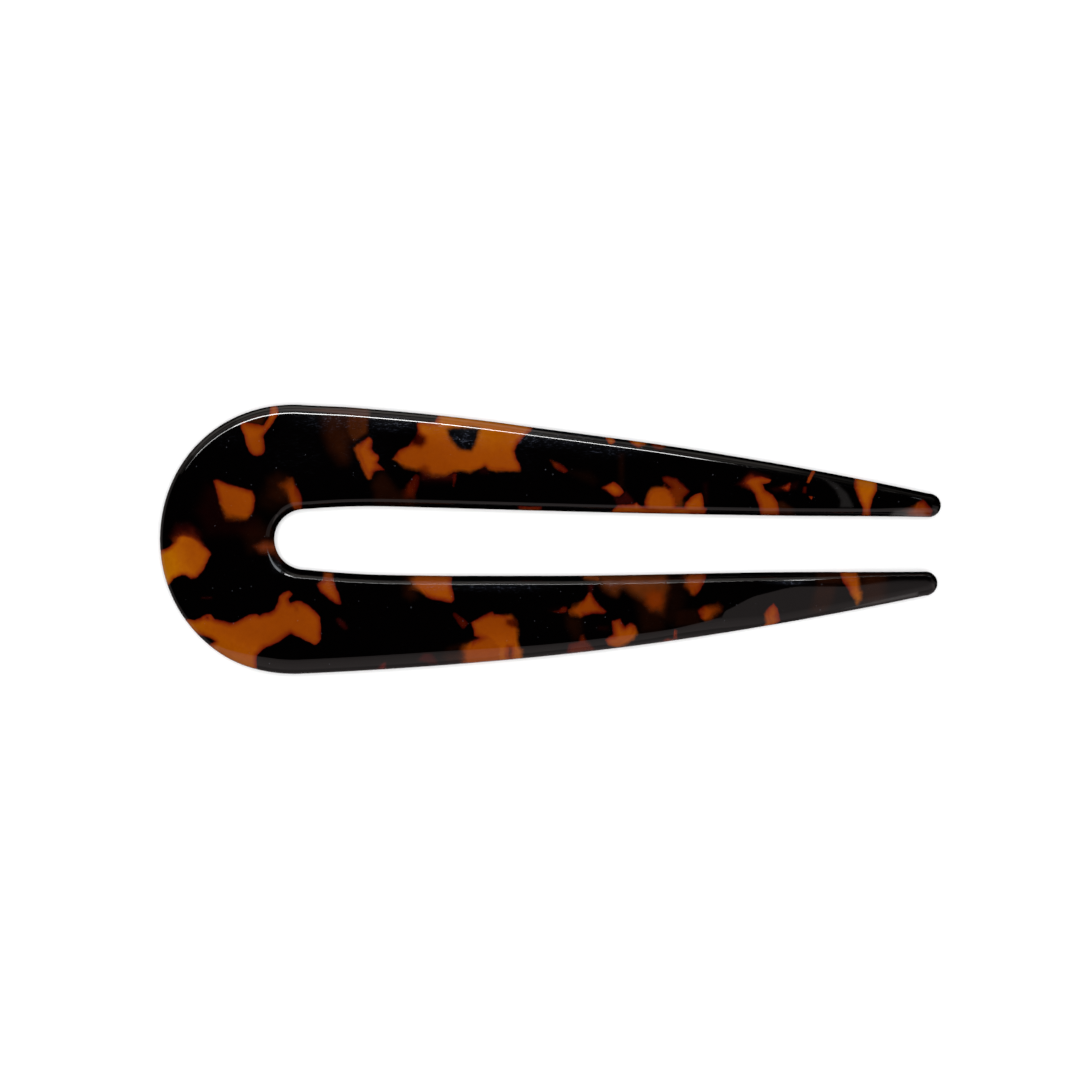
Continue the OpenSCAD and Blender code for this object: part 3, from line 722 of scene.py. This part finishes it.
def chart(places):
    """The pattern's measures at each vertex: reach is how far it lies inside its flake, blur how soft that
    edge is, glow how bright the flake is, warm whether it turns red where it fades, brown and red how much
    colour the black lets through, rub_and_glint how scratched the polish is and how much painted glint lies
    there where the scratches catch the light, worn how dull it is along the lower prong's slot edge, and
    painted_sheen how much painted sheen, an even grey that stands in for reflected light, lies over the
    colour. Below the middle of the thickness the chart slides sideways, as in a real sheet, whose flakes run
    through it at a slant."""
    plan_x, plan_y, height = places.T
    down = np.clip(MID - height, 0.0, None)
    x, y = plan_x + SLANT_X * down, plan_y + SLANT_Y * down
    reach = np.full(x.shape, -3.0)
    blur = np.full(x.shape, 0.2)
    glow = np.full(x.shape, 1.0)
    warm = np.zeros(x.shape)
    for name, bright, soft, lean, fade, outline in FLAKES:
        more = fade * leaning(x, y, outline, lean)
        # A soft edge lies wholly inside its outline
        gap = signed_distance(x, y, outline) - 0.5 * more
        nearer = gap > reach
        reach = np.where(nearer, gap, reach)
        blur = np.where(nearer, soft + more, blur)
        glow = np.where(nearer, bright, glow)
        warm = np.where(nearer, name in RED_EDGED, warm)
    for _, soft, outline in SHADES:
        gap = 0.5 * soft - signed_distance(x, y, outline)
        nearer = gap < reach
        reach = np.where(nearer, gap, reach)
        blur = np.where(nearer, soft, blur)
    for _, loss, soft, outline in DULLS:
        glow = glow * (1.0 - loss * within(x, y, outline, soft))
    # Light that comes in through the rims brightens the amber towards them
    inside = rim_distance(plan_x, plan_y)
    glow = glow * (1.0 + 0.36 * (1.0 - ease(inside, 0.8, 5.2)) + 0.1 * (1.0 - ease(inside, 0.0, 1.2)))
    # Painted sheen: an even grey that stands in for reflected light
    painted_sheen = np.zeros(x.shape)
    for _, grey, soft, outline in PAINTED_SHEENS:
        painted_sheen = np.maximum(painted_sheen, grey * within(plan_x, plan_y, outline, soft) * (height > PAINTED_SHEEN_FROM))
    brown = np.zeros(x.shape)
    red = np.zeros(x.shape)
    for _, brown_level, red_level, soft, outline in HAZES:
        share = within(x, y, outline, soft)
        brown = np.maximum(brown, brown_level * share)
        red = np.maximum(red, red_level * share)
    # Rubbed polish, which also carries a painted glint where its scratches catch the light
    rub_and_glint = np.zeros(x.shape)
    for at_x, at_y, wide, high, strength in RUBS_AND_GLINTS:
        rub_and_glint = np.maximum(rub_and_glint, strength * bell(x, at_x, wide) * bell(y, at_y, high) * (height > MID))
    worn = (1.0 - ease(slot_distance(x, y), 1.5, 2.3)) * ease(-y, -1.0, 1.5)
    return {
        "reach": reach, "blur": blur, "glow": glow, "brown": brown, "red": red,
        "warm": warm, "rub_and_glint": rub_and_glint, "worn": worn, "painted_sheen": painted_sheen,
    }


def store(piece, values):
    """Keeps measures on the mesh as attributes, one number a vertex."""
    for name, numbers in values.items():
        layer = piece.data.attributes.new(name, "FLOAT", "POINT")
        layer.data.foreach_set("value", np.asarray(numbers, dtype=np.float32))


# Depth in millimetres by which a crisp flake's red rim has turned amber
RED_RIM = 0.75


class Nodes:
    """Short names for the few kinds of node that the finishes here are made of."""

    def __init__(self, name):
        self.material = bpy.data.materials.new(name)
        self.material.use_nodes = True
        self.tree = self.material.node_tree
        self.shader = self.tree.nodes["Principled BSDF"]
        self.place = self.make("ShaderNodeTexCoord").outputs["Object"]

    def fill(self, node, inputs):
        """Feeds a node's inputs, each with a number, a colour or another node's output."""
        for key, value in inputs.items():
            if isinstance(value, bpy.types.NodeSocket):
                self.tree.links.new(value, node.inputs[key])
            else:
                node.inputs[key].default_value = value

    def make(self, kind, inputs=None, **settings):
        """A new node of a kind, with its settings and what feeds its inputs."""
        node = self.tree.nodes.new(kind)
        for name, value in settings.items():
            setattr(node, name, value)
        self.fill(node, inputs or {})
        return node

    def math(self, operation, *values, clamp=False):
        inputs = dict(enumerate(values))
        return self.make("ShaderNodeMath", inputs, operation=operation, use_clamp=clamp).outputs[0]

    def times(self, value, by, clamp=False):
        return self.math("MULTIPLY", value, by, clamp=clamp)

    def scaled(self, value, by, plus, clamp=False):
        """A value multiplied by one number, with another added to it."""
        return self.math("MULTIPLY_ADD", value, by, plus, clamp=clamp)

    def measure(self, name):
        """A number that the mesh keeps at each vertex."""
        return self.make("ShaderNodeAttribute", attribute_name=name).outputs["Fac"]

    def spot(self, seed, stretch=(1.0, 1.0, 1.0), turn=0.0):
        """The place on the pin, shifted by a seed, turned about z and stretched."""
        return self.make("ShaderNodeMapping", {
            "Vector": self.place, "Location": (seed * 0.37, seed * 0.21, seed * 0.13),
            "Rotation": (0.0, 0.0, math.radians(turn)), "Scale": stretch,
        }).outputs[0]

    def noise(self, size, detail=2.0, rough=0.5, seed=0.0, stretch=(1.0, 1.0, 1.0), turn=0.0):
        """Noise whose lumps are about size millimetres across, centred on 0, from -0.5 to 0.5."""
        node = self.make("ShaderNodeTexNoise", {
            "Vector": self.spot(seed, stretch, turn), "Scale": 1000.0 / size, "Detail": detail,
            "Roughness": rough,
        })
        return self.math("SUBTRACT", node.outputs["Fac"], 0.5)

    def specks(self, size, radius, share, seed):
        """Ragged specks: one at the heart of some of the cells, each of size millimetres. A cell
        has a speck where its own random number falls below share."""
        inputs = {"Vector": self.spot(seed), "Scale": 1000.0 / size}
        cells = self.make("ShaderNodeTexVoronoi", inputs, feature="F1").outputs
        pick = self.make("ShaderNodeSeparateColor", {0: cells["Color"]}).outputs
        kept = self.step(pick[0], share, self.math("SUBTRACT", share, 0.02))
        reach = self.scaled(pick[1], radius, radius * 0.4)
        uneven = self.noise(size * 0.3, 2.0, seed=seed, stretch=(1.0, 0.5, 1.0), turn=25.0)
        away = self.scaled(uneven, radius * 1.6, cells["Distance"])
        dot = self.step(away, reach, self.times(reach, 0.2))
        return self.times(self.times(kept, dot), self.math("POWER", pick[2], 1.6))

    def ramp(self, value, *stops):
        """A run of colours, each at its own value."""
        node = self.make("ShaderNodeValToRGB", {"Fac": value})
        while len(node.color_ramp.elements) < len(stops):
            node.color_ramp.elements.new(0.5)
        for element, (at, colour) in zip(node.color_ramp.elements, stops):
            element.position = at
            element.color = (*colour, 1.0)
        return node.outputs["Color"]

    def step(self, value, low, high):
        """Smooth step from 0 at low to 1 at high."""
        inputs = {"Value": value, "From Min": low, "From Max": high}
        return self.make("ShaderNodeMapRange", inputs, interpolation_type="SMOOTHSTEP").outputs["Result"]

    def colour(self, *parts):
        return self.make("ShaderNodeCombineColor", dict(enumerate(parts))).outputs[0]

    def blend(self, kind, share, first, second):
        """Two colours, the second laid over the first by its share."""
        inputs = {0: share, 6: first, 7: second}
        node = self.make("ShaderNodeMix", inputs, data_type="RGBA", blend_type=kind, clamp_factor=True)
        return node.outputs[2]


def tortoiseshell():
    """Polished tortoiseshell. A flake's edge is its charted distance with a little noise, taken through a
    smooth step as wide as its blur. Inside, a crisp flake's colour warms with distance from the edge, from
    red through orange to amber, and mottles. Outside, brown and red hazes show. Dust and fine scratches lie
    on top, with a painted bluish glint where the scratches catch the light, and a painted sheen of even grey
    over some places."""
    m = Nodes("polished_tortoiseshell")
    reach, blur, glow = m.measure("reach"), m.measure("blur"), m.measure("glow")
    ragged = m.noise(1.5, 5.0, 0.6)
    cloud = m.noise(2.6, 3.0, 0.55, seed=1.0)
    wide = m.noise(7.0, 2.0, 0.5, seed=2.0)
    fine = m.noise(0.6, 3.0, 0.6, seed=5.0)

    # Edge of a flake
    swing = m.scaled(blur, 0.6, 0.36)
    edge = m.scaled(ragged, swing, reach)
    half = m.times(blur, 0.5)
    cover = m.step(edge, m.times(half, -1.0), half)

    # Colour inside it: only a crisp edge has a red rim
    depth = m.math("DIVIDE", m.scaled(cloud, 0.7, edge), RED_RIM)
    misty = m.scaled(blur, 2.0, -0.6, clamp=True)
    misty = m.scaled(m.measure("warm"), -0.8, misty)
    depth = m.math("MAXIMUM", depth, misty)
    amber = m.ramp(
        depth,
        (0.0, (0.075, 0.0042, 0.0012)), (0.25, (0.125, 0.012, 0.0012)),
        (0.6, (0.17, 0.025, 0.0009)), (1.0, (0.205, 0.0372, 0.0003)),
    )
    bright = m.scaled(wide, 0.45, 1.0)
    bright = m.scaled(fine, 0.22, bright)
    bright = m.times(bright, glow)
    dim = m.math("POWER", bright, 1.5)
    dim = m.times(dim, m.math("POWER", m.math("MAXIMUM", bright, 1.0), 0.7))
    amber = m.blend("MULTIPLY", 1.0, amber, m.colour(bright, dim, bright))

    # Colour outside it
    patchy = m.scaled(cloud, 1.3, 1.0)
    patchy = m.scaled(fine, 0.35, patchy)
    brown = m.times(m.measure("brown"), patchy)
    red = m.times(m.measure("red"), patchy)
    lit = m.math("ADD", m.math("ADD", brown, red), 0.0003)
    green = m.scaled(brown, 0.2, m.scaled(red, 0.06, 0.00016))
    blue = m.scaled(brown, 0.025, m.scaled(red, 0.045, 0.0002))
    body = m.blend("MIX", cover, m.colour(lit, green, blue), amber)

    # Dust, thicker in some places, and fine flecks of scratches where the polish is rubbed, with a painted
    # bluish glint there where the scratches catch the light
    rub_and_glint = m.measure("rub_and_glint")
    drift = m.step(m.noise(14.0, 2.0, seed=6.0), -0.08, 0.22)
    dust = m.math("MAXIMUM", m.specks(0.9, 0.13, m.scaled(drift, 0.3, 0.06), 7.0),
                  m.specks(0.45, 0.2, m.scaled(rub_and_glint, 0.4, 0.04), 8.0))
    flecks = [
        m.step(m.noise(0.24, 3.0, 0.65, seed=9.0 + turn, stretch=(0.35, 1.0, 1.0), turn=turn), 0.07, 0.22)
        for turn in (-24.0, 37.0)
    ]
    scratch = m.math("ADD", flecks[0], flecks[1])
    # Painted glint: bluish white laid over the colour where the rubbed polish's scratches catch the light
    painted_glint = m.times(rub_and_glint, m.scaled(scratch, 0.2, 0.01), clamp=True)
    body = m.blend("MIX", painted_glint, body, (0.17, 0.2, 0.3, 1.0))
    body = m.blend("MIX", m.times(dust, 0.4), body, (0.14, 0.15, 0.18, 1.0))
    # Painted sheen: an even grey added to the colour where reflected light makes the polish look paler
    painted_sheen = m.measure("painted_sheen")
    sheen = m.colour(painted_sheen, m.times(painted_sheen, 0.92), m.times(painted_sheen, 0.9))
    body = m.blend("ADD", 1.0, body, sheen)
    coat = m.times(rub_and_glint, m.scaled(scratch, 0.7, 0.1), clamp=True)

    # Polish, with fine hairline scratches and a slight unevenness left by the buffing
    grain = m.noise(0.35, 3.0, 0.6, seed=3.0, stretch=(0.12, 1.0, 1.0))
    worn = m.times(m.scaled(wide, 0.8, 1.0), m.measure("worn"))
    gloss = m.scaled(grain, 0.03, 0.065)
    gloss = m.scaled(worn, 0.075, gloss)
    gloss = m.scaled(rub_and_glint, 0.02, gloss)
    gloss = m.scaled(dust, 0.2, gloss)
    bump = m.make("ShaderNodeBump", {"Strength": 0.02, "Distance": 0.00002, "Height": grain})
    m.fill(m.shader, {
        "Base Color": body, "Roughness": gloss, "IOR": 1.49, "Normal": bump.outputs[0],
        "Coat Weight": coat, "Coat Roughness": 0.5,
    })
    return m.material


points, poles = skin()
pin = closed_skin("tortoiseshell_pin", points, poles)
store(pin, chart(np.concatenate([points.reshape(-1, 3), poles])))
pin.data.materials.append(tortoiseshell())
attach(pin, "root")
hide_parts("pin")


# The camera stands straight above the pin. It is turned by less than half a degree, and its
# view is VIEW_WIDTH wide at the pin.
CAMERA_X = -1.48
CAMERA_Y = 0.186
CAMERA_HEIGHT = 800.0
CAMERA_TURN = 0.444
VIEW_WIDTH = 152.1
SENSOR = 36.0
camera_data = bpy.data.cameras.new("camera")
camera = placed("camera", camera_data)
camera.location = (CAMERA_X * MM, CAMERA_Y * MM, (CAMERA_HEIGHT + MID) * MM)
camera.rotation_euler = (0.0, 0.0, math.radians(CAMERA_TURN))
camera_data.sensor_width = SENSOR
camera_data.lens = SENSOR * CAMERA_HEIGHT / VIEW_WIDTH
camera_data.clip_start = 0.01
camera_data.clip_end = 20.0
bpy.context.scene.camera = camera
bpy.context.scene.view_settings.view_transform = "Standard"


WARM_GREY = (1.0, 0.86, 0.85)
WARM_WHITE = (1.0, 0.93, 0.85)
COOL_WHITE = (0.88, 0.94, 1.0)


def card(name, at, wide, high, facing, radiance, colour=(1.0, 1.0, 1.0), lights_all=False):
    """A glowing card in metres. It stands with its width level, turned to the bearing facing
    (degrees from +x towards +y, and degrees of tilt up). Radiance is its brightness as
    mirrored in the polish: watts = radiance x pi x area. Only polish sees a card, and
    only the overhead lamp, which no polish sees, lights the floor and the colours."""
    data = bpy.data.lights.new(name, "AREA")
    data.shape = "RECTANGLE"
    data.size = wide
    data.size_y = high
    data.energy = radiance * math.pi * wide * high
    data.color = colour
    piece = placed(name, data)
    piece.location = at
    bearing, tilt = facing
    piece.rotation_euler = (math.radians(90.0 + tilt), 0.0, math.radians(bearing - 90.0))
    piece.visible_camera = False
    piece.visible_glossy = not lights_all
    piece.visible_diffuse = lights_all


card("overhead", (0.0, 0.0, 1.5), 1.5, 1.5, (90.0, -90.0), 6.2, lights_all=True)
# Near card, a leaning sheet in three bands that dim upwards: name, from and to in metres up
# its slope, radiance
for name, low, high, radiance in (
    ("near_low", 0.0, 0.35, 0.51), ("near_middle", 0.35, 0.8, 0.46), ("near_high", 0.8, 1.637, 0.375),
):
    along = (low + high) / 2
    card(name, (0.16, -0.3 - 0.427 * along, 0.904 * along), 0.88, high - low, (90.0, 25.3), radiance,
         WARM_GREY)
card("near_card_foot", (0.16, -0.3, -0.45), 0.88, 0.9, (90.0, 0.0), 0.27, WARM_GREY)
card("right_card", (0.6, -0.34, 0.3), 0.56, 1.2, (180.0, 0.0), 0.25, WARM_GREY)
card("left_card_foot", (-0.4, 0.0, -0.28), 1.0, 0.45, (0.0, 0.0), 0.22, WARM_GREY)
card("far_strip", (-0.099, 0.45, 0.226), 0.402, 0.029, (270.0, -26.5), 38.0)
card("far_strip_left", (-0.46, 0.45, 0.226), 0.32, 0.018, (270.0, -26.5), 22.0)
card("far_strip_end", (-0.71, 0.45, 0.226), 0.18, 0.012, (270.0, -26.5), 8.0)
card("far_right_patch", (0.339, 0.306, 0.31), 0.407, 0.18, (222.0, -35.0), 4.6, COOL_WHITE)

# Wall and table beyond the pin, as its far edges mirror them: name, from x, to x, radiance
for name, start, end, radiance in (
    ("far_left", -1.0, -0.7, 0.2), ("far_middle", -0.7, -0.3, 0.6), ("far_bright", -0.3, 0.06, 0.95),
    ("far_fading", 0.06, 0.14, 0.5), ("far_right", 0.14, 0.6, 0.14),
):
    for part, low, high, share in (("table", -0.17, -0.02, 0.9), ("wall", 0.02, 0.16, 0.6)):
        card(f"{name}_{part}", ((start + end) / 2, 0.5, (low + high) / 2), end - start, high - low,
             (270.0, 0.0), radiance * share, WARM_WHITE)


def matt(name, grey, roughness):
    """A dull finish of one even grey."""
    m = Nodes(name)
    m.fill(m.shader, {
        "Base Color": (grey, grey, grey, 1.0), "Roughness": roughness, "Specular IOR Level": 0.0,
    })
    return m.material


paper = matt("white_paper", 0.9, 0.9)
black = matt("black_cloth", 0.0, 1.0)


def spread_out(name, corners, finish):
    """A flat sheet of the stage with four corners in millimetres."""
    mesh = bpy.data.meshes.new(name)
    mesh.from_pydata([tuple(v * MM for v in corner) for corner in corners], [], [(0, 1, 2, 3)])
    piece = placed(name, mesh)
    mesh.materials.append(finish)
    return piece


def flag(name, corners):
    """A black cloth, seen only as the polish mirrors it."""
    piece = spread_out(name, corners, black)
    piece.visible_camera = False
    piece.visible_diffuse = False
    piece.visible_shadow = False


# How far the floor reaches each way, in millimetres
REACH = 3000.0
floor = spread_out(
    "floor", [(-REACH, -REACH, 0.0), (REACH, -REACH, 0.0), (REACH, REACH, 0.0), (-REACH, REACH, 0.0)],
    paper,
)
floor.visible_glossy = False

# One flag lies just under the slot, so that the slot's walls mirror a dark gap. The other
# hides the far right patch from the upper prong's nose.
flag("slot_flag", [(-39.0, -14.5, -1.0), (50.0, -5.0, -1.0), (50.0, 5.0, -1.0), (-39.0, 14.5, -1.0)])
flag("nose_flag", [(64.2, 10.0, 6.2), (56.9, 16.9, 6.2), (54.0, 13.8, 11.8), (61.3, 6.9, 11.8)])

world = bpy.data.worlds.new("studio")
world.use_nodes = True
world.node_tree.nodes["Background"].inputs["Color"].default_value = (0.0, 0.0, 0.0, 1.0)
bpy.context.scene.world = world
